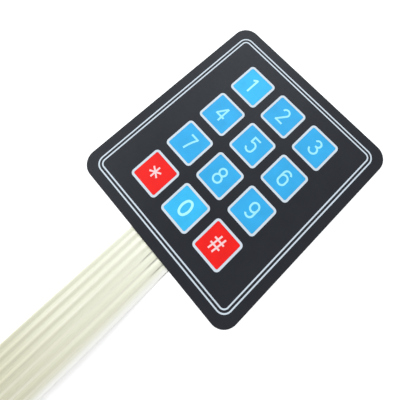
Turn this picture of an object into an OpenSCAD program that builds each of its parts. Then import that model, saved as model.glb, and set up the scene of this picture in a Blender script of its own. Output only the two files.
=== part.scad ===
/* [Panel] */
// Width of the panel, across its three columns of keys
panel_w = 69.2; // [66:0.1:80]
// Height of the panel, along its four rows of keys
panel_h = 76.9; // [76:0.1:90]
// Radius of the panel's corners
panel_corner_r = 5.3; // [2:0.1:9]

/* [Frame lines] */
// Distance from the panel's edge to the outer white line
frame_inset = 3.35; // [2:0.05:5]
// Width of each white line
frame_line_w = 0.47; // [0.3:0.01:1]
// Black gap between the two white lines
frame_line_gap = 0.73; // [0.4:0.01:1.2]
// Outer corner radius of the outer white line
frame_corner_r = 3.15; // [2.6:0.05:5]

/* [Keys] */
// Distance from one key to the next, both ways
key_pitch = 15; // [14:0.1:15.6]
// Side of a key, over its white border
key_size = 11.8; // [11.4:0.1:12.6]
// Corner radius of a key, over its white border
key_corner_r = 1.35; // [1.2:0.05:3]
// Width of the white border round a key
border_w = 0.78; // [0.5:0.01:0.95]
// How far a key goes down
key_travel = 0.25; // [0.15:0.01:0.4]
// Seam between a key and the film round it
key_seam = 0.03; // [0.01:0.01:0.1]
// Margin of the pocket under a key, beyond the key on each side
pocket_margin = 0.25; // [0.1:0.05:0.6]

/* [Sheets] */
// Thickness of the paper release liner
liner_t = 0.1; // [0.05:0.01:0.2]
// Thickness of the rear adhesive
rear_adhesive_t = 0.1; // [0.05:0.01:0.2]
// Thickness of the circuit film and its tail
film_t = 0.125; // [0.075:0.005:0.2]
// Thickness of the sheet that seats the domes
locator_t = 0.1; // [0.05:0.01:0.15]
// Thickness of the adhesive under the overlay
overlay_adhesive_t = 0.05; // [0.025:0.005:0.1]
// Thickness of the printed overlay
overlay_t = 0.2; // [0.15:0.01:0.3]
// Depth of the white print in the overlay
print_t = 0.02; // [0.01:0.005:0.05]
// Thickness of the film that covers the conductors of the tail
cover_t = 0.05; // [0.025:0.005:0.1]

/* [Domes] */
// Diameter of a snap dome, over its four feet
dome_d = 8.4; // [8:0.1:9]
// Width of a snap dome across its four cut sides
dome_flat_w = 7; // [6.4:0.1:7.4]
// Thickness of the dome's metal
dome_metal_t = 0.06; // [0.04:0.01:0.08]
// Clearance round a dome's feet in its seat
dome_seat_gap = 0.15; // [0.05:0.01:0.3]
// Width of the channels that let air from seat to seat
vent_w = 1.2; // [0.6:0.1:2]

/* [Conductors] */
// Thickness of the printed silver
track_t = 0.015; // [0.01:0.001:0.03]
// Width of a conductor inside the panel
track_w = 0.8; // [0.5:0.1:0.9]
// Diameter of the contact pad under a dome's crown
pad_d = 2.6; // [2:0.1:3.2]
// Width of the printed arcs that carry a dome's feet
arc_w = 1.2; // [0.8:0.1:1.4]
// Space between the two arcs and the column that passes between them
arc_gap = 0.7; // [0.4:0.1:0.9]
// Distance between the row conductors at the panel's left side
bus_pitch = 2; // [1.4:0.1:2.4]
// Distance between the conductors that run to the tail under the last row
run_pitch = 1.35; // [1.2:0.05:1.4]
// Space between the outermost arcs and the nearest conductor that passes them
run_gap = 1.3; // [1:0.1:1.6]

/* [Tail] */
// Length of the tail, from the panel's edge to the connector's front
tail_len = 85; // [60:1:150]
// Width of the tail
tail_w = 17.8; // [17.8:0.1:19]
// Distance of the tail's middle to the right of the panel's middle
tail_offset = 1.5; // [0:0.1:3]
// Height by which the free tail bows up off the table
tail_bow = 3.5; // [0.5:0.1:5]
// Width of a conductor in the tail
tail_track_w = 1.9; // [1.6:0.1:2.1]

/* [Connector] */
// Distance between neighbouring ways
way_pitch = 2.54; // [2.5:0.01:2.54]
// Length of the connector housing
housing_len = 14; // [12.5:0.1:16]
// Height of the connector housing
housing_h = 2.54; // [2.5:0.01:3]
// Thickness of the housing's outer walls and of the walls between ways
housing_wall = 0.34; // [0.3:0.01:0.38]
// Side of the square hole that a header pin goes in by
pin_hole = 1; // [0.8:0.05:1.1]
// Thickness of the contacts' sheet metal
contact_t = 0.2; // [0.15:0.01:0.25]
// Clearance of a contact in its way, on each side
contact_gap = 0.05; // [0.02:0.01:0.1]
// Length of a contact's socket
socket_len = 6.5; // [5.5:0.1:7]
// Length of a contact's crimp on the film
crimp_len = 3.2; // [2.5:0.1:3.6]
// Depth to which the film goes into the housing
film_depth = 5.5; // [4.5:0.1:6]

/* [Hidden] */

// Fineness of round forms
$fn = 96;

// The matrix
columns = 3;
rows = 4;
ways = rows + columns;

// Clearances between the sheets and what moves or lies between them
key_stop_gap = 0.025;
crown_gap = 0.01;
slit_gap = 0.02;
film_slot_gap = 0.2;
// Least length that a cut runs past a face
past = 1;

// Heights of the sheets, from the table up
rear_adhesive_z = liner_t;
film_z = rear_adhesive_z + rear_adhesive_t;
track_z = film_z + film_t;
locator_z = track_z + track_t;
spacer_z = locator_z + locator_t;
spacer_t = key_travel + key_stop_gap - overlay_adhesive_t;
overlay_adhesive_z = spacer_z + spacer_t;
overlay_z = overlay_adhesive_z + overlay_adhesive_t;
print_z = overlay_z + overlay_t - print_t;

// The coloured field inside a key's border, and the pocket under it
field_size = key_size - 2 * border_w;
field_r = key_corner_r - border_w;
pocket_size = field_size + 2 * pocket_margin;
pocket_r = field_r + pocket_margin;

// The frame's second line
inner_inset = frame_inset + frame_line_w + frame_line_gap;
inner_corner_r = frame_corner_r - frame_line_w - frame_line_gap;

// The dome's form and its printed arcs
dome_h = overlay_z - locator_z - crown_gap;
dome_seat_d = dome_d + 2 * dome_seat_gap;
dome_steps = 14;
arc_r = dome_d / 2 + arc_w / 3;
corridor_w = track_w + 2 * arc_gap;

// The tail's run: flat in the panel, bowed while free, flat in the connector
panel_edge_y = -panel_h / 2;
free_len = tail_len - housing_len;
tail_steps = 40;
tail_end = free_len + film_depth;
root_len = 1.6;
contact_z = housing_wall + contact_gap;
socket_film_z = contact_z + contact_t;

// The connector's ways
housing_side = 0.25;
housing_w = tail_w + film_slot_gap + 2 * housing_side;
way_w = way_pitch - housing_wall;
way_h = housing_h - 2 * housing_wall;
front_wall = 1;
socket_w = way_w - 2 * contact_gap;
socket_h = way_h - 2 * contact_gap;
crimp_w = 1.3;
funnel = 0.25;
window_w = 1.2;
window_len = 1.8;
latch_len = 1.2;
front_y = panel_edge_y - tail_len;
film_end_gap = 0.3;
crimp_d = tail_end - film_end_gap - crimp_len;

function key_x(c) = (c - (columns - 1) / 2) * key_pitch;
function key_y(r) = ((rows - 1) / 2 - r) * key_pitch;
function way_x(i) = tail_offset + (i - (ways - 1) / 2) * way_pitch;

// Height of the film's underside at a distance from the panel's edge
function eased(u) = u * u * (3 - 2 * u);
function bowed(u) = 16 * u * u * (1 - u) * (1 - u);
function film_height(d) =
    let (u = min(max(d / free_len, 0), 1))
    film_z + (socket_film_z - film_z) * eased(u) + tail_bow * bowed(u);

// Outlines
module rounded(w, h, r) {
    square([w - 2 * r, h], center = true);
    square([w, h - 2 * r], center = true);
    for (x = [-1, 1], y = [-1, 1])
        translate([x * (w / 2 - r), y * (h / 2 - r)])
            circle(r = r);
}

module panel_outline() {
    rounded(panel_w, panel_h, panel_corner_r);
}

module ring_outline(w, h, r, line) {
    difference() {
        rounded(w, h, r);
        rounded(w - 2 * line, h - 2 * line, r - line);
    }
}

module at_each_key() {
    for (c = [0 : columns - 1], r = [0 : rows - 1])
        translate([key_x(c), key_y(r)])
            children();
}

module sheet(z, t) {
    translate([0, 0, z])
        linear_extrude(t)
            children();
}

// A strip along the tail, lifted off the film's underside
module tail_strip(x, w, lift, t, from, to) {
    bends = [for (i = [0 : tail_steps]) free_len * i / tail_steps];
    stations = [from, for (d = bends) if (d > from && d < to) d, to];
    under = [for (d = stations) [d, film_height(d) + lift]];
    over = [for (i = [len(stations) - 1 : -1 : 0]) under[i] + [0, t]];
    translate([x, panel_edge_y, 0])
        rotate([90, 0, -90])
            linear_extrude(w, center = true)
                polygon(concat(under, over));
}

// The slits that a crimp's two walls pass through
module crimp_slits(i) {
    for (side = [-1, 1])
        translate([
            way_x(i) + side * (crimp_w - contact_t) / 2 - contact_t / 2 - slit_gap,
            panel_edge_y - crimp_d - crimp_len - slit_gap,
            0
        ])
            cube([contact_t + 2 * slit_gap, crimp_len + 2 * slit_gap, housing_h]);
}

// Rear sheets
module release_liner() {
    color("#efe8cf")
        sheet(0, liner_t)
            panel_outline();
}

module rear_adhesive() {
    color("#d9d6c4")
        sheet(rear_adhesive_z, rear_adhesive_t)
            panel_outline();
}

module circuit_film() {
    color("#ece8cd")
        difference() {
            union() {
                sheet(film_z, film_t)
                    panel_outline();
                tail_strip(tail_offset, tail_w, 0, film_t, -root_len, tail_end);
            }
            for (i = [0 : ways - 1])
                crimp_slits(i);
        }
}

module tail_cover() {
    color("#f1edda")
        tail_strip(tail_offset, tail_w, film_t + track_t, cover_t, 0, free_len);
}

// Conductors: the rows come down the left side, and the columns straight down
function bus_x(r) = key_x(0) - arc_r - run_gap - (rows - 1 - r) * bus_pitch;
function run_y(level) = key_y(rows - 1) - arc_r - run_gap - level * run_pitch;
function row_level(r) = 1 + rows - r;
function column_level(c) = c == 0 ? 1 : 0;

module bar(a, b, w) {
    translate([min(a.x, b.x) - w / 2, min(a.y, b.y) - w / 2])
        square([abs(a.x - b.x) + w, abs(a.y - b.y) + w]);
}

// From the end of a run down to the tail's root
module to_tail(x, y) {
    bar([x, y], [x, panel_edge_y + track_w / 2], track_w);
}

module tail_track(i) {
    difference() {
        tail_strip(way_x(i), tail_track_w, film_t, track_t, -root_len, tail_end);
        crimp_slits(i);
    }
}

module arcs() {
    difference() {
        circle(r = arc_r);
        circle(r = arc_r - arc_w);
        square([corridor_w, 3 * arc_r], center = true);
    }
}

module row_track(r) {
    y = key_y(r);
    color("#b5b4a8") {
        union() {
            sheet(track_z, track_t) {
                for (c = [0 : columns - 1])
                    translate([key_x(c), y])
                        arcs();
                for (c = [0 : columns - 2])
                    bar([key_x(c) + arc_r - arc_w / 2, y], [key_x(c + 1) - arc_r + arc_w / 2, y], track_w);
                bar([bus_x(r), y], [key_x(0) - arc_r + arc_w / 2, y], track_w);
                bar([bus_x(r), y], [bus_x(r), run_y(row_level(r))], track_w);
                bar([bus_x(r), run_y(row_level(r))], [way_x(r), run_y(row_level(r))], track_w);
                to_tail(way_x(r), run_y(row_level(r)));
            }
            tail_track(r);
        }
    }
}

module column_track(c) {
    x = key_x(c);
    y = run_y(column_level(c));
    end_x = way_x(rows + c);
    color("#b5b4a8") {
        union() {
            sheet(track_z, track_t) {
                for (r = [0 : rows - 1])
                    translate([x, key_y(r)])
                        circle(d = pad_d);
                bar([x, key_y(0)], [x, y], track_w);
                bar([x, y], [end_x, y], track_w);
                to_tail(end_x, y);
            }
            tail_track(rows + c);
        }
    }
}

// Domes and the sheets round them
module dome_locator() {
    color("#dfe3e6")
        sheet(locator_z, locator_t)
            difference() {
                panel_outline();
                at_each_key()
                    circle(d = dome_seat_d);
                for (c = [0 : columns - 1])
                    bar([key_x(c), key_y(0)], [key_x(c), key_y(rows - 1)], vent_w);
                bar([key_x(0), key_y(0)], [key_x(columns - 1), key_y(0)], vent_w);
            }
}

module dome(c, r) {
    foot_r = dome_d / 2;
    rise = dome_h - dome_metal_t;
    under = [
        for (i = [0 : dome_steps])
            let (q = foot_r * i / dome_steps)
                [q, rise * (1 - pow(q / foot_r, 2))]
    ];
    over = [for (i = [dome_steps : -1 : 0]) under[i] + [0, dome_metal_t]];
    color("#c3c8cc")
        translate([key_x(c), key_y(r), locator_z])
            intersection() {
                rotate_extrude()
                    polygon(concat(under, over));
                linear_extrude(dome_h)
                    square(dome_flat_w, center = true);
            }
}

module key_spacer() {
    color("#cfd4d6")
        sheet(spacer_z, spacer_t)
            difference() {
                panel_outline();
                at_each_key()
                    rounded(pocket_size, pocket_size, pocket_r);
            }
}

module overlay_adhesive() {
    color("#d9d6c4")
        sheet(overlay_adhesive_z, overlay_adhesive_t)
            difference() {
                panel_outline();
                at_each_key()
                    rounded(pocket_size, pocket_size, pocket_r);
            }
}

// Overlay, its white print and its keys
module graphic_overlay() {
    color("#36383b")
        difference() {
            sheet(overlay_z, overlay_t)
                panel_outline();
            sheet(overlay_z - past, overlay_t + 2 * past)
                at_each_key()
                    rounded(field_size, field_size, field_r);
            sheet(print_z, print_t + past) {
                at_each_key()
                    rounded(key_size, key_size, key_corner_r);
                frame_pattern();
            }
        }
}

module frame_pattern() {
    ring_outline(
        panel_w - 2 * frame_inset, panel_h - 2 * frame_inset, frame_corner_r, frame_line_w
    );
    ring_outline(
        panel_w - 2 * inner_inset, panel_h - 2 * inner_inset, inner_corner_r, frame_line_w
    );
}

module frame_lines() {
    color("#e6ebf2")
        sheet(print_z, print_t)
            frame_pattern();
}

module key_borders() {
    color("#e6ebf2")
        sheet(print_z, print_t)
            at_each_key()
                ring_outline(key_size, key_size, key_corner_r, border_w);
}

module key_area(c, r, field) {
    side = field_size - 2 * key_seam;
    color(field)
        translate([key_x(c), key_y(r)])
            sheet(overlay_z, overlay_t)
                rounded(side, side, field_r - key_seam);
}

module blue_key(c, r) {
    key_area(c, r, "#42b2fa");
}

module red_key(c, r) {
    key_area(c, r, "#ff211c");
}

// Connector at the tail's end
module pin_funnel() {
    wide = pin_hole + 2 * funnel;
    profile = [
        [-wide / 2, 0], [wide / 2, 0], [pin_hole / 2, funnel], [-pin_hole / 2, funnel]
    ];
    intersection() {
        linear_extrude(housing_h, center = true)
            polygon(profile);
        rotate([0, 90, 0])
            linear_extrude(housing_h, center = true)
                polygon(profile);
    }
}

module connector_housing() {
    color("#1c1c1e")
        difference() {
            translate([tail_offset - housing_w / 2, front_y, 0])
                cube([housing_w, housing_len, housing_h]);
            for (i = [0 : ways - 1])
                translate([way_x(i), front_y, 0]) {
                    translate([-way_w / 2, front_wall, housing_wall])
                        cube([way_w, housing_len, way_h]);
                    translate([-pin_hole / 2, -past, (housing_h - pin_hole) / 2])
                        cube([pin_hole, front_wall + 2 * past, pin_hole]);
                    translate([0, 0, housing_h / 2])
                        pin_funnel();
                    translate([-window_w / 2, front_wall + socket_len - window_len, housing_h / 2])
                        cube([window_w, window_len, housing_h]);
                }
            translate([
                tail_offset - tail_w / 2 - film_slot_gap / 2,
                panel_edge_y - tail_end - film_slot_gap,
                socket_film_z - film_slot_gap
            ])
                cube([
                    tail_w + film_slot_gap,
                    film_depth + film_slot_gap + past,
                    film_t + cover_t + 2 * film_slot_gap
                ]);
        }
}

module contact(i) {
    socket_y = front_y + front_wall + contact_gap;
    crimp_y = panel_edge_y - crimp_d - crimp_len;
    crimp_h = 2 * contact_t + film_t + track_t;
    latch_y = socket_y + socket_len - contact_gap - window_len / 2 - latch_len / 2;
    color("#c9c6bd")
        translate([way_x(i), 0, contact_z]) {
            difference() {
                translate([-socket_w / 2, socket_y, 0])
                    cube([socket_w, socket_len, socket_h]);
                translate([-socket_w / 2 + contact_t, socket_y - past, contact_t])
                    cube([socket_w - 2 * contact_t, socket_len + 2 * past, socket_h - 2 * contact_t]);
            }
            translate([-crimp_w / 2, socket_y, 0])
                cube([crimp_w, crimp_y + crimp_len - socket_y, contact_t]);
            translate([0, crimp_y + crimp_len, 0])
                rotate([90, 0, 0])
                    linear_extrude(crimp_len)
                        difference() {
                            translate([-crimp_w / 2, 0])
                                square([crimp_w, crimp_h]);
                            translate([-crimp_w / 2 + contact_t, contact_t])
                                square([crimp_w - 2 * contact_t, film_t + track_t]);
                            translate([-contact_t / 2, crimp_h / 2])
                                square([contact_t, crimp_h]);
                        }
            translate([window_w / 4, latch_y, socket_h])
                rotate([90, 0, -90])
                    linear_extrude(window_w / 2)
                        polygon([
                            [-latch_len, -contact_t / 2], [0, -contact_t / 2], [0, 0], [-latch_len, contact_t]
                        ]);
        }
}

release_liner();
rear_adhesive();
circuit_film();
row_track(0);  // row_track_1
row_track(1);  // row_track_2
row_track(2);  // row_track_3
row_track(3);  // row_track_4
column_track(0);  // column_track_1
column_track(1);  // column_track_2
column_track(2);  // column_track_3
tail_cover();
dome_locator();
dome(0, 0);  // dome_1
dome(1, 0);  // dome_2
dome(2, 0);  // dome_3
dome(0, 1);  // dome_4
dome(1, 1);  // dome_5
dome(2, 1);  // dome_6
dome(0, 2);  // dome_7
dome(1, 2);  // dome_8
dome(2, 2);  // dome_9
dome(0, 3);  // dome_star
dome(1, 3);  // dome_0
dome(2, 3);  // dome_hash
key_spacer();
overlay_adhesive();
graphic_overlay();
frame_lines();
key_borders();
blue_key(0, 0);  // key_1
blue_key(1, 0);  // key_2
blue_key(2, 0);  // key_3
blue_key(0, 1);  // key_4
blue_key(1, 1);  // key_5
blue_key(2, 1);  // key_6
blue_key(0, 2);  // key_7
blue_key(1, 2);  // key_8
blue_key(2, 2);  // key_9
red_key(0, 3);  // key_star
blue_key(1, 3);  // key_0
red_key(2, 3);  // key_hash
connector_housing();
contact(0);  // contact_1
contact(1);  // contact_2
contact(2);  // contact_3
contact(3);  // contact_4
contact(4);  // contact_5
contact(5);  // contact_6
contact(6);  // contact_7
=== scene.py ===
from math import cos, exp, pi, radians, sin

import bmesh
import bpy
import numpy as np
from bpy.props import FloatProperty, FloatVectorProperty, PointerProperty
from mathutils import Euler, Matrix, Vector


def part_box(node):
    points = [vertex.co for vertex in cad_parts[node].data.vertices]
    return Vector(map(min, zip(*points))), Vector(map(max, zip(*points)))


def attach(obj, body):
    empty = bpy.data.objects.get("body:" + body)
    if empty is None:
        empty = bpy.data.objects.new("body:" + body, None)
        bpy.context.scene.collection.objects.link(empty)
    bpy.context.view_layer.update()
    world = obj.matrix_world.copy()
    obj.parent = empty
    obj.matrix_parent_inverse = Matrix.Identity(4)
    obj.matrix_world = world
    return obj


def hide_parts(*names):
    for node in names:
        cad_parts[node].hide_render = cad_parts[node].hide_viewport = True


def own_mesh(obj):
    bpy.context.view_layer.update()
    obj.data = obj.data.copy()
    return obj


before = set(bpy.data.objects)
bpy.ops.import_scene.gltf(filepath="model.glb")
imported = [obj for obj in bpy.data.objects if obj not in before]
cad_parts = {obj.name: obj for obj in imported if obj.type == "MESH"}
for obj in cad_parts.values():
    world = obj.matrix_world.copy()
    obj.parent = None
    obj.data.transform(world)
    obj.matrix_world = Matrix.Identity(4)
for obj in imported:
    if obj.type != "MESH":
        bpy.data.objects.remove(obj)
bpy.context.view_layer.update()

bl_info = {
    "name": "Membrane keypad",
    "version": (1, 0, 0),
    "blender": (4, 5, 0),
    "location": "View3D > Sidebar > Keypad",
    "description": "Gives the packed membrane keypad its inks, signs, films, metal and studio",
    "category": "Object",
}

MM = 0.001
BLUE_KEYS = ("2", "3", "4", "5", "6", "7", "8", "9")
PALE_KEYS = ("1", "0")
RED_KEYS = ("star", "hash")
WAYS = 7
FIXED_BODY = "laminate"
WHITE = (1, 1, 1, 1)
POLYESTER_IOR = 1.58

# Each stroke of a sign, in millimetres from the middle of its key: where the nib starts,
# its heading in degrees, and its moves: a length straight ahead, or a radius and the degrees of
# a turn to the left, or to the right where they are negative
SIGNS = {
    "1": [((-0.27, 3.1), -90, [5.75]), ((-1.55, 1.9), 38, [1.6])],
    "2": [
        ((-1.3, 1.71), 85, [(1.25, -210.6), 3.97]),
        ((-1.62, -2.35), 0, [3.1]),
    ],
    "3": [
        ((-1.11, 1.95), 75, [(1.15, -255), 0.35]),
        ((-0.35, 0.5), 0, [0.28, (1.45, -265)]),
    ],
    "4": [
        ((0.56, 2.9), -90, [5.62]),
        ((-2.0, -0.88), 0, [3.6]),
        ((0.45, 2.75), -122, [4.25]),
    ],
    "5": [
        ((1.36, 2.64), 180, [2.5]),
        ((-1.12, 2.94), -90, [2.45]),
        ((-1.05, 0.48), 50, [(1.35, -140), 0.9, (1.35, -165)]),
    ],
    "6": [
        ((1.36, -0.4), 90, [(1.36, 180), 0.88, (1.36, 180), 0.88]),
        ((-1.36, -0.8), 90, [2.08, (1.36, -156)]),
    ],
    "7": [((-1.6, 2.48), 0, [3.2]), ((1.36, 2.6), -116.8, [(17.9, 18)])],
    "8": [
        ((1.24, 1.44), 90, [(1.24, 360)]),
        ((1.44, -1.22), 90, [(1.44, 360)]),
    ],
    "9": [
        ((-1.32, 1.0), 90, [0.48, (1.32, -180), 0.48, (1.32, -180)]),
        ((1.32, 1.2), -90, [2.24, (1.36, -145)]),
    ],
    "star": [
        ((-0.35, 2.24), -90, [4.1]),
        ((-2.13, -0.84), 30, [4.1]),
        ((1.43, -0.84), 150, [4.1]),
    ],
    "0": [((1.525, 0), 90, [(4, 28.26), (1.19, 123.48), (4, 56.52), (1.19, 123.48), (4, 28.26)])],
    "hash": [
        ((-0.72, 2.8), -97.4, [5.57]),
        ((0.88, 2.8), -97.4, [5.57]),
        ((-2.24, 1.07), 0, [3.92]),
        ((-2.24, -0.8), 0, [3.84]),
    ],
}

# Signs whose strokes aren't of the usual width, with their share of it
STROKE_SHARES = {"0": 1.25, "1": 1.05, "star": 0.88, "hash": 0.88}

# Degrees from one cross-section of a curved stroke to the next
CURVE_STEP = 6

# Points closer than this become one: in a CAD mesh, and in millimetres in a stroke and a sign
CAD_MERGE = 0.0005 * MM
STROKE_MERGE = 0.01
SIGN_MERGE = 0.001

# A joined sign's points come in another order each run, and merging goes by their order, so they
# are sorted along this slanting line first, on which hardly any two are level
SLANT = Vector((1, 0.731, 0.289))

# A way is the distance between two conductors of the tail, and one of them runs down its middle.
# Folds of the tail's cover: each crest's place in ways from the middle, and its share of the full
# height. On the left they lie between conductors, on the right over them, and one on each edge
FOLDS = ((-3.3, 0.6), (-2.5, 1.0), (-1.5, 1.0), (-0.5, 0.8), (1, 0.3), (2, 0.7), (3.5, 0.25))
FOLD_REACH = 0.5

# Short creases where the cover comes out from under the panel, in ways from the middle
CREASES = (0.5, 1.5, 2.5)

# Cells of the cover's grid, across the tail and along it
COVER_CELLS = (210, 100)

# Where the cover's tones begin and end, the painted crease shade among them: in ways from the nearest
# conductor's middle
BAND_EDGE = (0.3, 0.44)
CREASE_EDGE = (0.37, 0.46)

# In ways from the tail's middle: the gaps painted darker towards the right, the painted crease shade, and
# the right edge painted lighter
RIGHT_GAPS = (-0.5, 1)
RIGHT_CREASES = (0, 0.4)
RIGHT_HIGHLIGHT = (2.6, 3.3)

# And as shares of the cover's length from the panel: the painted shade that darkens the cover away from the
# panel, and where the painted crease shade ends
BAND_FAR_SHADE = (0, 0.7)
GAP_FAR_SHADE = (0.36, 0.7)
CREASE_END = (0, 0.08)

# What the housing's rounding goes by, in degrees and millimetres: triangles that lie flatter than
# this are one face, edges sharper than this are rounded, and an outer face is this near the box
FLAT_ANGLE = 1
SHARP_ANGLE = 45
OUTER_REACH = 0.01

# The table top, from its middle to its sides and down from the part, in metres
FLOOR_REACH = 2
FLOOR_DROP = 0.01 * MM

# The camera's sensor in millimetres, and how near it sees in metres
SENSOR_WIDTH = 36
NEAREST = 1 * MM


def linear(red, green, blue):
    """A colour as a picture shows it (sRGB, 0 to 1), as Blender's colour properties hold it."""
    return tuple(
        value / 12.92 if value <= 0.04045 else ((value + 0.055) / 1.055) ** 2.4
        for value in (red, green, blue)
    )


def colour_property(name, description, default):
    """A colour in the sidebar, with its default given as a picture shows it."""
    return FloatVectorProperty(
        name=name, description=description, default=linear(*default),
        subtype="COLOR", size=3, min=0, max=1,
    )


def length_property(name, description, default, low, high):
    """A length in the sidebar, with its default and limits given in millimetres."""
    return FloatProperty(
        name=name, description=description, default=default * MM,
        min=low * MM, max=high * MM, subtype="DISTANCE", unit="LENGTH", precision=5,
    )


class KeypadInks(bpy.types.PropertyGroup):
    """Colours of the prints on the overlay."""

    black: colour_property("Black", "Ink that covers the panel", (0.115, 0.125, 0.15))
    white: colour_property("White", "Frame lines and key borders", (0.84, 0.88, 0.915))
    blue: colour_property("Blue", "Number keys", (0.222, 0.686, 0.917))
    # Keys 1 and 0 get a paler blue than the other number keys, and their signs a paler ink
    pale_blue: colour_property("Pale blue", "Number keys that came out paler", (0.24, 0.745, 0.955))
    red: colour_property("Red", "Star and hash keys", (0.965, 0.123, 0.106))
    digit: colour_property("Digit", "Signs on the blue keys", (0.645, 0.94, 0.985))
    pale_digit: colour_property("Pale digit", "Signs on the paler keys", (0.71, 0.99, 1.0))
    mark: colour_property("Mark", "Signs on the red keys", (1.0, 0.84, 0.84))


class KeypadFilms(bpy.types.PropertyGroup):
    """Colours of the films, glues and metals."""

    film: colour_property("Film", "Polyester of the circuit and tail", (0.985, 0.98, 0.92))
    cover: colour_property("Cover", "Insulating film over the tail's conductors", (1.0, 0.985, 0.905))
    # The conductors showing through the cover; made darker still, the same tone is the painted shade over
    # the gaps on the right
    shadow: colour_property("Conductor tone", "The cover over a conductor", (0.985, 0.965, 0.88))
    # Painted shade: the cover over a conductor, darker and yellower far from the panel
    far_shade: colour_property("Shaded", "The cover over a conductor, far from the panel", (0.874, 0.855, 0.743))
    # Painted highlight: the cover along the right edge, lighter as if it caught the light
    margin: colour_property("Margin", "The cover along the tail's right edge", (1.0, 0.985, 0.96))
    # Painted shade: the dark lines in the creases where the cover leaves the panel
    crease: colour_property("Crease", "The creases where the cover leaves the panel", (0.5, 0.5, 0.44))
    silver: colour_property("Silver", "Printed silver of the conductors", (0.95, 0.945, 0.875))
    spacer: colour_property("Spacer", "Milky film of the spacer and the dome seats", (0.86, 0.88, 0.88))
    glue: colour_property("Glue", "Double-sided adhesive", (0.8, 0.78, 0.7))
    paper: colour_property("Paper", "Release liner", (0.93, 0.88, 0.76))
    steel: colour_property("Steel", "Snap domes", (0.78, 0.78, 0.79))
    tin: colour_property("Tin", "Socket contacts", (0.72, 0.7, 0.66))
    plastic: colour_property("Plastic", "Connector housing", (0.12, 0.12, 0.125))
    clearness: FloatProperty(
        name="Clearness", description="Share of the light that goes straight through the circuit film",
        default=0.45, min=0, max=1, subtype="FACTOR",
    )
    cover_clearness: FloatProperty(
        name="Cover clearness", description="Share of the light that goes straight through the cover",
        default=0.12, min=0, max=1, subtype="FACTOR",
    )


class KeypadSizes(bpy.types.PropertyGroup):
    """Sizes of what is added to the frame."""

    stroke: length_property("Stroke", "Width of the strokes of a sign", 0.66, 0.3, 1.2)
    ink_height: length_property("Ink height", "Height of a sign's ink over its key", 0.014, 0.005, 0.05)
    ink_root: length_property("Ink root", "Depth to which the ink goes into its key", 0.004, 0.001, 0.01)
    fold_height: length_property("Fold height", "Height of a full fold of the tail's cover", 0.2, 0, 0.3)
    gather_run: length_property("Gather run", "How far from the panel the folds are gathered", 2.5, 0.5, 10)
    crease_depth: length_property("Crease depth", "Depth of the creases at the panel", 0.16, 0, 0.3)
    crease_width: length_property("Crease width", "Half the width of a crease", 0.16, 0.05, 0.4)
    way_pitch: length_property("Way pitch", "Distance between two conductors of the tail", 2.54, 2, 3)
    cover: length_property("Cover", "Thickness of the tail's cover", 0.05, 0.02, 0.1)
    housing_bevel: length_property("Housing bevel", "Rounding of the housing's edges", 0.08, 0.02, 0.2)
    dome_travel: length_property("Dome travel", "How far a key presses its dome", 0.25, 0.1, 0.4)


class KeypadStudio(bpy.types.PropertyGroup):
    """Camera, lamps and floor."""

    camera_place: FloatVectorProperty(
        name="Camera", description="Where the camera stands",
        default=(1.869 * MM, -11.47 * MM, 79.108 * MM), subtype="TRANSLATION", unit="LENGTH",
    )
    camera_turn: FloatVectorProperty(
        name="Camera turn", description="How the camera is turned",
        default=(radians(12.078), radians(-0.719), radians(47.189)), subtype="EULER",
        unit="ROTATION",
    )
    lens: FloatProperty(
        name="Lens", description=f"Focal length on a sensor {SENSOR_WIDTH} mm wide",
        default=21.15, min=10, max=200, unit="CAMERA",
    )
    shift: FloatVectorProperty(
        name="Shift", description="Shift of the picture, as a share of its width",
        default=(-0.045, -0.155), size=2,
    )
    lamp_place: FloatVectorProperty(
        name="Lamp", description="Where the main soft lamp hangs",
        default=(-0.17, 0.23, 0.36), subtype="TRANSLATION", unit="LENGTH",
    )
    lamp_size: FloatProperty(
        name="Lamp size", description="Side of the soft lamp",
        default=0.42, min=0.02, max=2, subtype="DISTANCE", unit="LENGTH",
    )
    lamp_power: FloatProperty(
        name="Lamp power", description="Power of the main lamp",
        default=1.2, min=0, max=50, unit="POWER",
    )
    side_place: FloatVectorProperty(
        name="Side lamp", description="Where the soft lamp beside the tail hangs",
        default=(-0.28, -0.2, 0.3), subtype="TRANSLATION", unit="LENGTH",
    )
    side_size: FloatProperty(
        name="Side lamp size", description="Side of the lamp beside the tail",
        default=0.4, min=0.02, max=2, subtype="DISTANCE", unit="LENGTH",
    )
    side_power: FloatProperty(
        name="Side lamp power", description="Power of the lamp beside the tail",
        default=1.0, min=0, max=50, unit="POWER",
    )
    lamp_colour: colour_property("Lamp colour", "Light of the lamps", (0.95, 0.98, 1.0))
    sky: FloatProperty(
        name="Sky", description="Light from all round",
        default=0.45, min=0, max=2,
    )
    floor: colour_property("Floor", "The table top", (0.93, 0.93, 0.925))
    floor_lift: FloatProperty(
        name="Floor lift", description="How much paler than its light the camera sees the floor",
        default=0.5, min=0, max=1, subtype="FACTOR",
    )


SETTINGS = {
    "keypad_inks": KeypadInks,
    "keypad_films": KeypadFilms,
    "keypad_sizes": KeypadSizes,
    "keypad_studio": KeypadStudio,
}


# Materials

def fill(tree, node, inputs):
    """Sets a node's inputs, by name or number, to values or to links."""
    for name, value in inputs.items():
        if isinstance(value, bpy.types.NodeSocket):
            tree.links.new(value, node.inputs[name])
        else:
            node.inputs[name].default_value = value


def add_node(tree, kind, inputs=None, **settings):
    """Adds a node to a material or the world, with its settings and inputs."""
    node = tree.nodes.new("ShaderNode" + kind)
    for name, value in settings.items():
        setattr(node, name, value)
    fill(tree, node, inputs or {})
    return node


def calculated(tree, operation, first, second):
    """The outcome of a sum on two values or links."""
    return add_node(tree, "Math", {0: first, 1: second}, operation=operation).outputs[0]


def new_finish(name):
    """A material with a Principled shader: its node tree and that shader."""
    material = bpy.data.materials.new(name)
    material.use_nodes = True
    tree = material.node_tree
    return material, tree, tree.nodes["Principled BSDF"]


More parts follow.
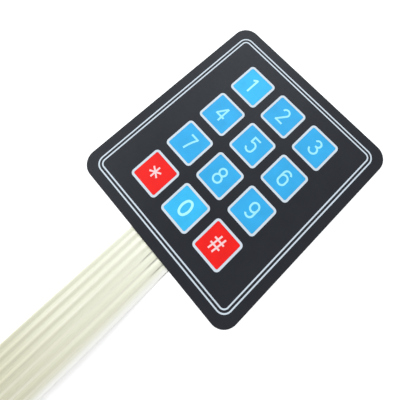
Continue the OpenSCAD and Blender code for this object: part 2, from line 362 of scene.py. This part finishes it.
def place_on(tree, stretch=(1, 1, 1), shift=(0, 0, 0)):
    """The place on the object, stretched for a pattern that is longer one way, and shifted."""
    where = add_node(tree, "TexCoord").outputs["Object"]
    return add_node(tree, "Mapping", {"Vector": where, "Scale": stretch, "Location": shift}).outputs[0]


def noise(tree, size, detail=2, stretch=(1, 1, 1)):
    """Noise whose spots are about that size in millimetres."""
    return add_node(tree, "TexNoise", {
        "Vector": place_on(tree, stretch), "Scale": 1 / (size * MM), "Detail": detail,
    }).outputs["Fac"]


def ramp(tree, factor, source, target=(0, 1)):
    """Maps one range of a value to another and holds it at the ends."""
    return add_node(tree, "MapRange", {
        "Value": factor, "From Min": source[0], "From Max": source[1],
        "To Min": target[0], "To Max": target[1],
    }).outputs[0]


def between(tree, pattern, low, high):
    """Turns noise, which stays near its middle, into values from low to high."""
    return ramp(tree, pattern, (0.3, 0.7), (low, high))


def mixed(tree, factor, first, second):
    """A colour between two others. A Mix node has its colours in inputs 6 and 7 and output 2."""
    return add_node(tree, "Mix", {0: factor, 6: first, 7: second}, data_type="RGBA").outputs[2]


def shade(colour, share=1.0):
    """A colour property as a node's colour, darker or lighter by a share."""
    return (*(min(1.0, value * share) for value in colour), 1)


def cloudy(tree, pattern, colour, low, high):
    """A colour that goes from a darker to a lighter share of itself with a noise pattern."""
    return mixed(tree, between(tree, pattern, 0, 1), shade(colour, low), shade(colour, high))


def bumps(tree, *layers):
    """Relief in layers, each a height pattern and its depth in millimetres."""
    normal = None
    for height, depth in layers:
        inputs = {"Height": height, "Distance": depth * MM}
        if normal:
            inputs["Normal"] = normal
        normal = add_node(tree, "Bump", inputs).outputs[0]
    return normal


def printed_film(name, ink, cloud=0.06):
    """Ink on velvet-grained polyester: fine stipple, a faint orange peel and slightly cloudy ink."""
    material, tree, shader = new_finish(name)
    stipple, peel = noise(tree, 0.18), noise(tree, 1.6)
    fill(tree, shader, {
        "Base Color": cloudy(tree, noise(tree, 5, 3), ink, 1 - cloud, 1 + cloud),
        "Roughness": between(tree, noise(tree, 0.7, 3), 0.34, 0.46),
        "Specular IOR Level": 0.2,
        "Normal": bumps(tree, (stipple, 0.014), (peel, 0.008)),
    })
    return material


def clear_film(name, tint, clearness):
    """Clear polyester with the faint lines of its drawing along the tail."""
    material, tree, shader = new_finish(name)
    drawn = noise(tree, 0.35, 3, stretch=(1, 0.03, 1))
    fill(tree, shader, {
        "Base Color": cloudy(tree, drawn, tint, 0.98, 1.02),
        "Roughness": between(tree, drawn, 0.16, 0.26),
        "IOR": POLYESTER_IOR,
        "Alpha": 1 - clearness,
        "Normal": bumps(tree, (drawn, 0.004)),
    })
    return material


def cover_film(films, sizes, box):
    """Ivory insulating film through which the conductors show as faint bands, with painted shade (darker
    and yellower away from the panel, darker over the gaps on the right and in the creases at the panel) and
    a painted highlight along the right edge.
    """
    material, tree, shader = new_finish("cover_polyester")
    low, high = box
    place = place_on(
        tree, (1 / sizes.way_pitch, 1 / (low.y - high.y), 1),
        ((low.x + high.x) / -2 / sizes.way_pitch, high.y / (high.y - low.y), 0),
    )
    across, along, _ = add_node(tree, "SeparateXYZ", {"Vector": place}).outputs
    from_conductor = calculated(tree, "PINGPONG", across, 0.5)

    # Painted shade: the bands over the conductors, and further out the gaps on the left, turn darker and
    # yellower away from the panel
    band_far_shade = ramp(tree, along, BAND_FAR_SHADE)
    band = mixed(tree, band_far_shade, shade(films.shadow, 1.075), shade(films.far_shade))
    gap_far_shade = ramp(tree, along, GAP_FAR_SHADE)
    left_gap = mixed(tree, gap_far_shade, shade(films.cover), shade(films.far_shade, 1.2))
    # Painted shade: the gaps turn darker towards the right, where the raised tail shades the table under
    # them
    gap = mixed(tree, ramp(tree, across, RIGHT_GAPS), left_gap, shade(films.shadow, 0.88))
    tone = mixed(tree, ramp(tree, from_conductor, BAND_EDGE), band, gap)
    # Painted highlight: the right edge is lighter, as where the raised edge catches the light
    tone = mixed(tree, ramp(tree, across, RIGHT_HIGHLIGHT), tone, shade(films.margin))

    # Painted shade: dark lines in the gaps right of the middle, close to the panel, where the shade under
    # the panel's edge shows
    near_panel = ramp(tree, along, CREASE_END, (1, 0))
    crease_shade_mask = calculated(tree, "MULTIPLY", ramp(tree, across, RIGHT_CREASES), near_panel)
    crease_shade_mask = calculated(tree, "MULTIPLY", crease_shade_mask, ramp(tree, from_conductor, CREASE_EDGE))

    drawn, waves = noise(tree, 0.35, stretch=(1, 0.012, 1)), noise(tree, 2.5)
    fill(tree, shader, {
        "Base Color": mixed(tree, crease_shade_mask, tone, shade(films.crease)),
        "Roughness": between(tree, drawn, 0.26, 0.31),
        "IOR": POLYESTER_IOR,
        "Alpha": 1 - films.cover_clearness,
        "Normal": bumps(tree, (drawn, 0.0015), (waves, 0.006)),
    })
    return material


def silver_print(name, tint):
    """Screen-printed silver ink: pale, grainy, with the streaks of its squeegee."""
    material, tree, shader = new_finish(name)
    streaks = noise(tree, 0.3, 3, stretch=(1, 0.05, 1))
    grain = noise(tree, 0.08)
    fill(tree, shader, {
        "Base Color": cloudy(tree, streaks, tint, 0.97, 1.02),
        "Metallic": 0.08,
        "Roughness": between(tree, grain, 0.38, 0.55),
        "Normal": bumps(tree, (grain, 0.004), (streaks, 0.006)),
    })
    return material


def milky_sheet(name, tint, clearness):
    """Milky film or transfer glue, slightly uneven."""
    material, tree, shader = new_finish(name)
    haze, grain = noise(tree, 2.5, 4), noise(tree, 0.3)
    fill(tree, shader, {
        "Base Color": cloudy(tree, haze, tint, 0.94, 1.04),
        "Roughness": between(tree, haze, 0.42, 0.6),
        "Alpha": 1 - clearness,
        "Normal": bumps(tree, (grain, 0.004)),
    })
    return material


def coated_paper(name, tint):
    """Silicone-coated paper with its fibres."""
    material, tree, shader = new_finish(name)
    fibres = noise(tree, 0.5, 5, stretch=(1, 0.3, 1))
    fill(tree, shader, {
        "Base Color": cloudy(tree, fibres, tint, 0.9, 1.04),
        "Roughness": between(tree, fibres, 0.45, 0.62),
        "Normal": bumps(tree, (fibres, 0.012)),
    })
    return material


def metal(name, tint, roughness, stretch):
    """Rolled sheet metal with its rolling lines."""
    material, tree, shader = new_finish(name)
    lines = noise(tree, 0.12, 4, stretch)
    fill(tree, shader, {
        "Base Color": cloudy(tree, noise(tree, 1.2, 3), tint, 0.88, 1.05),
        "Metallic": 1.0,
        "Roughness": between(tree, lines, *roughness),
        "Normal": bumps(tree, (lines, 0.002)),
    })
    return material


def moulded_plastic(name, tint):
    """Black nylon with the fine grain of its mould."""
    material, tree, shader = new_finish(name)
    grain = noise(tree, 0.12, 3)
    fill(tree, shader, {
        "Base Color": cloudy(tree, noise(tree, 3, 3), tint, 0.9, 1.12),
        "Roughness": between(tree, grain, 0.38, 0.52),
        "Normal": bumps(tree, (grain, 0.008)),
    })
    return material


def seen(tree):
    """1 where the eye, a mirror or clear matter looks, and 0 where light is gathered."""
    path = add_node(tree, "LightPath").outputs
    mirrored = calculated(tree, "MAXIMUM", path["Is Camera Ray"], path["Is Glossy Ray"])
    return calculated(tree, "MAXIMUM", mirrored, path["Is Transmission Ray"])


def coat(material, *names):
    """Gives CAD nodes a finish."""
    for name in names:
        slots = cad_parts[name].data.materials
        slots.clear()
        slots.append(material)


# Meshes

def new_piece(name, mesh, material, body=FIXED_BODY):
    """A finished piece that rides on a body."""
    piece = bpy.data.objects.new(name, mesh)
    bpy.context.collection.objects.link(piece)
    mesh.materials.clear()
    mesh.materials.append(material)
    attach(piece, body)
    return piece


def from_node(name):
    """A bmesh of a CAD node with its loose triangles joined."""
    bm = bmesh.new()
    bm.from_mesh(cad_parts[name].data)
    bmesh.ops.remove_doubles(bm, verts=bm.verts, dist=CAD_MERGE)
    return bm


def to_mesh(bm, name):
    """The finished bmesh as a mesh of that name."""
    mesh = bpy.data.meshes.new(name)
    bm.to_mesh(mesh)
    bm.free()
    return mesh


class Nib:
    """Draws one stroke of a sign: an edge as long as the stroke is wide, pulled along its line."""

    def __init__(self, width, start, heading):
        self.bm = bmesh.new()
        self.place = Vector((*start, 0))
        self.heading = radians(heading)
        sides = [self.bm.verts.new(self.place + self.left() * width / 2 * side) for side in (1, -1)]
        self.edge = self.bm.edges.new(sides)

    def left(self):
        return Vector((-sin(self.heading), cos(self.heading), 0))

    def take_edge(self, geometry):
        """Goes on from the edge at the end of what was just drawn."""
        ends = {v for v in geometry if isinstance(v, bmesh.types.BMVert)}
        self.edge = next(
            e for e in geometry if isinstance(e, bmesh.types.BMEdge) and ends.issuperset(e.verts)
        )

    def straight(self, length):
        made = bmesh.ops.extrude_edge_only(self.bm, edges=[self.edge])["geom"]
        step = Vector((cos(self.heading), sin(self.heading), 0)) * length
        ends = [v for v in made if isinstance(v, bmesh.types.BMVert)]
        bmesh.ops.translate(self.bm, verts=ends, vec=step)
        self.take_edge(made)
        self.place += step

    def curve(self, radius, turn):
        centre = self.place + self.left() * (radius if turn > 0 else -radius)
        whole = abs(turn) == 360
        made = bmesh.ops.spin(
            self.bm, geom=[*self.edge.verts, self.edge], cent=centre, axis=(0, 0, 1),
            angle=radians(turn), steps=max(2, round(abs(turn) / CURVE_STEP)),
            use_merge=whole, use_duplicate=False,
        )["geom_last"]
        if not whole:
            self.take_edge(made)
        self.place = centre + Matrix.Rotation(radians(turn), 3, "Z") @ (self.place - centre)
        self.heading += radians(turn)

    def finish(self):
        """The stroke as a solid one unit high."""
        bmesh.ops.remove_doubles(self.bm, verts=self.bm.verts, dist=STROKE_MERGE)
        top = bmesh.ops.extrude_face_region(
            self.bm, geom=self.bm.faces[:], use_keep_orig=True,
        )["geom"]
        verts = [v for v in top if isinstance(v, bmesh.types.BMVert)]
        bmesh.ops.translate(self.bm, verts=verts, vec=(0, 0, 1))
        bmesh.ops.recalc_face_normals(self.bm, faces=self.bm.faces)
        return to_mesh(self.bm, "stroke")


def joined_strokes(meshes):
    """One bmesh that holds the strokes, joined into a single solid."""
    strokes = [bpy.data.objects.new("stroke", mesh) for mesh in meshes]
    for stroke in strokes:
        bpy.context.collection.objects.link(stroke)
    for other in strokes[1:]:
        union = strokes[0].modifiers.new("Union", "BOOLEAN")
        union.operation, union.solver, union.object = "UNION", "EXACT", other
    bpy.context.view_layer.update()
    bm = bmesh.new()
    bm.from_mesh(strokes[0].evaluated_get(bpy.context.evaluated_depsgraph_get()).data)
    for stroke in strokes:
        bpy.data.objects.remove(stroke)
    for mesh in meshes:
        bpy.data.meshes.remove(mesh)
    return bm


def sign_mesh(name, sizes):
    """The mesh of a sign, flat on its key."""
    low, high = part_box("key_" + name)
    meshes = []
    for start, heading, moves in SIGNS[name]:
        nib = Nib(sizes.stroke / MM * STROKE_SHARES.get(name, 1), start, heading)
        for move in moves:
            if isinstance(move, tuple):
                nib.curve(*move)
            else:
                nib.straight(move)
        meshes.append(nib.finish())
    bm = joined_strokes(meshes)
    bm.verts.sort(key=lambda vertex: vertex.co.dot(SLANT))
    bmesh.ops.remove_doubles(bm, verts=bm.verts, dist=SIGN_MERGE)
    bm.faces.sort(key=lambda face: face.calc_center_median().dot(SLANT))
    if any(not edge.is_manifold for edge in bm.edges):
        raise RuntimeError(f"the strokes of sign {name} don't close")
    depth = sizes.ink_height + sizes.ink_root
    bmesh.ops.scale(bm, verts=bm.verts, vec=(MM, MM, depth))
    middle = (low + high) / 2
    bmesh.ops.translate(bm, verts=bm.verts, vec=(middle.x, middle.y, high.z - sizes.ink_root))
    return to_mesh(bm, "sign_" + name)


def fold_share(way):
    """How high the folds stand at a place across the tail, as a share of a full fold."""
    near = ((way - crest, share) for crest, share in FOLDS if abs(way - crest) < FOLD_REACH)
    return sum(share * cos(pi * distance) ** 2 for distance, share in near)


def folded_cover(sizes):
    """The tail's cover film, bowed with the tail and softly folded along it."""
    low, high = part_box("tail_cover")
    underside = {}
    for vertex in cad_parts["tail_cover"].data.vertices:
        y = round(vertex.co.y, 6)
        underside[y] = min(underside.get(y, vertex.co.z), vertex.co.z)
    along = sorted(underside)
    heights = [underside[y] for y in along]
    bm = bmesh.new()
    bmesh.ops.create_grid(bm, x_segments=COVER_CELLS[0], y_segments=COVER_CELLS[1], size=0.5)
    bmesh.ops.scale(bm, verts=bm.verts, vec=(high.x - low.x, high.y - low.y, 1))
    bmesh.ops.translate(bm, verts=bm.verts, vec=(*((low + high) / 2).xy, 0))
    middle = (low.x + high.x) / 2
    crease_width = sizes.crease_width / sizes.way_pitch
    for vertex in bm.verts:
        way = (vertex.co.x - middle) / sizes.way_pitch
        near_panel = exp((vertex.co.y - high.y) / sizes.gather_run)
        fold = fold_share(way)
        crease = sum(exp(-((way - place) / crease_width) ** 2) for place in CREASES)
        vertex.co.z = (
            np.interp(vertex.co.y, along, heights)
            + fold * (1 + near_panel) * sizes.fold_height
            - crease * near_panel * sizes.crease_depth
        )
    return to_mesh(bm, "folded_tail_cover")


def rounded_housing(sizes):
    """The connector housing with the edges of its outer block rounded."""
    bm = from_node("connector_housing")
    bmesh.ops.dissolve_limit(bm, angle_limit=radians(FLAT_ANGLE), verts=bm.verts, edges=bm.edges)
    bmesh.ops.scale(bm, verts=bm.verts, vec=(1 / MM, 1 / MM, 1 / MM))
    corners = [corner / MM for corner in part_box("connector_housing")]

    def is_outer(face):
        return any(
            all(abs(vertex.co[axis] - corner[axis]) < OUTER_REACH for vertex in face.verts)
            for corner in corners for axis in range(3)
        )

    outer = [
        edge for edge in bm.edges
        if all(is_outer(face) for face in edge.link_faces)
        and edge.calc_face_angle() > radians(SHARP_ANGLE)
    ]
    bmesh.ops.bevel(
        bm, geom=outer, offset=sizes.housing_bevel / MM, offset_type="OFFSET", affect="EDGES",
        segments=3, profile=0.5, material=-1, clamp_overlap=False,
    )
    bmesh.ops.scale(bm, verts=bm.verts, vec=(MM, MM, MM))
    return to_mesh(bm, "housing_shell")


# Operators

class KEYPAD_OT_overlay(bpy.types.Operator):
    """Inks the graphic overlay, its frame lines, key borders and keys"""

    bl_idname = "keypad.overlay"
    bl_label = "Overlay prints"

    def execute(self, context):
        inks = context.scene.keypad_inks
        coat(printed_film("black_overlay", inks.black, 0.1), "graphic_overlay")
        coat(printed_film("white_lines", inks.white, 0.03), "frame_lines", "key_borders")
        fields = {
            "blue_keys": (inks.blue, BLUE_KEYS),
            "pale_blue_keys": (inks.pale_blue, PALE_KEYS),
            "red_keys": (inks.red, RED_KEYS),
        }
        for name, (ink, keys) in fields.items():
            coat(printed_film(name, ink), *("key_" + key for key in keys))
        return {"FINISHED"}


class KEYPAD_OT_signs(bpy.types.Operator):
    """Draws the numbers, the star and the hash on the keys"""

    bl_idname = "keypad.signs"
    bl_label = "Signs"

    def execute(self, context):
        inks, sizes = context.scene.keypad_inks, context.scene.keypad_sizes
        signs = {
            "digit_ink": (inks.digit, BLUE_KEYS),
            "pale_digit_ink": (inks.pale_digit, PALE_KEYS),
            "mark_ink": (inks.mark, RED_KEYS),
        }
        for name, (colour, keys) in signs.items():
            ink = printed_film(name, colour, 0.03)
            for key in keys:
                new_piece("sign_" + key, sign_mesh(key, sizes), ink, key + "_key")
        return {"FINISHED"}


class KEYPAD_OT_circuit(bpy.types.Operator):
    """Gives the circuit film its clear polyester and the conductors their silver"""

    bl_idname = "keypad.circuit"
    bl_label = "Circuit film"

    def execute(self, context):
        films = context.scene.keypad_films
        coat(clear_film("circuit_polyester", films.film, films.clearness), "circuit_film")
        tracks = [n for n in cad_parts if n.startswith(("row_track", "column_track"))]
        coat(silver_print("silver_ink", films.silver), *tracks)
        return {"FINISHED"}


class KEYPAD_OT_tail_cover(bpy.types.Operator):
    """Lays the folded cover film over the conductors of the tail"""

    bl_idname = "keypad.tail_cover"
    bl_label = "Tail cover"

    def execute(self, context):
        films, sizes = context.scene.keypad_films, context.scene.keypad_sizes
        finish = cover_film(films, sizes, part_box("tail_cover"))
        cover = new_piece("folded_tail_cover", folded_cover(sizes), finish)
        for face in cover.data.polygons:
            face.use_smooth = True
        wall = cover.modifiers.new("Thickness", "SOLIDIFY")
        wall.thickness, wall.offset = sizes.cover, 1
        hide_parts("tail_cover")
        return {"FINISHED"}


class KEYPAD_OT_inner_sheets(bpy.types.Operator):
    """Finishes the sheets inside and behind the panel"""

    bl_idname = "keypad.inner_sheets"
    bl_label = "Inner sheets and liner"

    def execute(self, context):
        films = context.scene.keypad_films
        coat(milky_sheet("spacer_film", films.spacer, 0.15), "dome_locator", "key_spacer")
        coat(milky_sheet("transfer_glue", films.glue, 0.25), "overlay_adhesive", "rear_adhesive")
        coat(coated_paper("liner_paper", films.paper), "release_liner")
        return {"FINISHED"}


class KEYPAD_OT_domes(bpy.types.Operator):
    """Makes the snap domes as pieces of their own"""

    bl_idname = "keypad.domes"
    bl_label = "Snap domes"

    def execute(self, context):
        films, sizes = context.scene.keypad_films, context.scene.keypad_sizes
        steel = metal("dome_steel", films.steel, (0.2, 0.34), (1, 0.08, 1))
        for key in (*BLUE_KEYS, *PALE_KEYS, *RED_KEYS):
            node = "dome_" + key
            mesh = to_mesh(from_node(node), "snap_dome_" + key)
            dome = new_piece("snap_dome_" + key, mesh, steel)
            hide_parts(node)
            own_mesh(dome)
        return {"FINISHED"}


class KEYPAD_OT_connector(bpy.types.Operator):
    """Rounds the connector housing's edges and finishes its contacts"""

    bl_idname = "keypad.connector"
    bl_label = "Connector"

    def execute(self, context):
        films, sizes = context.scene.keypad_films, context.scene.keypad_sizes
        finish = moulded_plastic("housing_plastic", films.plastic)
        housing = new_piece("housing_shell", rounded_housing(sizes), finish)
        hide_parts("connector_housing")
        contacts = [f"contact_{way + 1}" for way in range(WAYS)]
        coat(metal("contact_tin", films.tin, (0.36, 0.52), (0.1, 1, 1)), *contacts)
        return {"FINISHED"}


class KEYPAD_OT_studio(bpy.types.Operator):
    """Sets the table, the lamps, the surroundings and the camera"""

    bl_idname = "keypad.studio"
    bl_label = "Studio"

    def execute(self, context):
        studio = context.scene.keypad_studio
        self.lay_floor(context, studio)
        self.light(context, studio)
        self.aim_camera(context, studio)
        context.scene.view_settings.view_transform = "Standard"
        return {"FINISHED"}

    def lay_floor(self, context, studio):
        """A wide table top just under the part, which looks whiter than the light on it makes it."""
        bm = bmesh.new()
        bmesh.ops.create_grid(bm, x_segments=1, y_segments=1, size=FLOOR_REACH)
        bmesh.ops.translate(bm, verts=bm.verts, vec=(0, 0, -FLOOR_DROP))
        floor = bpy.data.objects.new("floor", to_mesh(bm, "floor"))
        context.collection.objects.link(floor)
        material, tree, shader = new_finish("floor")
        fill(tree, shader, {
            "Base Color": shade(studio.floor),
            "Roughness": 0.9,
            "Specular IOR Level": 0.1,
            "Emission Color": WHITE,
            "Emission Strength": calculated(tree, "MULTIPLY", seen(tree), studio.floor_lift),
        })
        floor.data.materials.append(material)

    def light(self, context, studio):
        """Even surroundings, which look white, and two soft lamps."""
        world = context.scene.world or bpy.data.worlds.new("surroundings")
        context.scene.world = world
        world.use_nodes = True
        tree = world.node_tree
        tree.nodes.clear()
        sky = add_node(tree, "Background", {"Color": WHITE, "Strength": studio.sky}).outputs[0]
        backdrop = add_node(tree, "Background", {"Color": WHITE, "Strength": 1}).outputs[0]
        either = add_node(tree, "MixShader", {0: seen(tree), 1: sky, 2: backdrop}).outputs[0]
        add_node(tree, "OutputWorld", {"Surface": either})
        self.hang_lamp(context, "soft_lamp", studio.lamp_place, studio.lamp_size, studio.lamp_power)
        self.hang_lamp(context, "side_lamp", studio.side_place, studio.side_size, studio.side_power)

    def hang_lamp(self, context, name, place, size, power):
        """A square soft lamp that looks at the middle of the table."""
        lamp = bpy.data.lights.new(name, "AREA")
        lamp.energy, lamp.size = power, size
        lamp.color = context.scene.keypad_studio.lamp_colour
        holder = bpy.data.objects.new(name, lamp)
        holder.location = place
        holder.rotation_euler = (-Vector(place)).to_track_quat("-Z", "Y").to_euler()
        context.collection.objects.link(holder)

    def aim_camera(self, context, studio):
        """The camera, where the photograph was taken from."""
        data = bpy.data.cameras.new("camera")
        data.lens, data.sensor_width = studio.lens, SENSOR_WIDTH
        data.shift_x, data.shift_y = studio.shift
        data.clip_start = NEAREST
        camera = bpy.data.objects.new("camera", data)
        camera.location = studio.camera_place
        camera.rotation_euler = Euler(studio.camera_turn, "XYZ")
        context.collection.objects.link(camera)
        context.scene.camera = camera


OPERATORS = (
    KEYPAD_OT_studio,
    KEYPAD_OT_overlay,
    KEYPAD_OT_signs,
    KEYPAD_OT_circuit,
    KEYPAD_OT_tail_cover,
    KEYPAD_OT_inner_sheets,
    KEYPAD_OT_domes,
    KEYPAD_OT_connector,
)


class KEYPAD_PT_sidebar(bpy.types.Panel):
    """Lists the keypad's operators and settings"""

    bl_idname = "KEYPAD_PT_sidebar"
    bl_label = "Membrane keypad"
    bl_space_type = "VIEW_3D"
    bl_region_type = "UI"
    bl_category = "Keypad"

    def draw(self, context):
        for operator in OPERATORS:
            self.layout.operator(operator.bl_idname)
        for name, group in SETTINGS.items():
            box = self.layout.box()
            for setting in group.__annotations__:
                box.prop(getattr(context.scene, name), setting)


def register():
    for name, group in SETTINGS.items():
        bpy.utils.register_class(group)
        setattr(bpy.types.Scene, name, PointerProperty(type=group))
    for cls in (*OPERATORS, KEYPAD_PT_sidebar):
        bpy.utils.register_class(cls)


def unregister():
    for cls in reversed((*OPERATORS, KEYPAD_PT_sidebar)):
        bpy.utils.unregister_class(cls)
    for name, group in SETTINGS.items():
        delattr(bpy.types.Scene, name)
        bpy.utils.unregister_class(group)


def main():
    register()
    for operator in OPERATORS:
        area, name = operator.bl_idname.split(".")
        getattr(getattr(bpy.ops, area), name)()


if __name__ == "__main__":
    main()
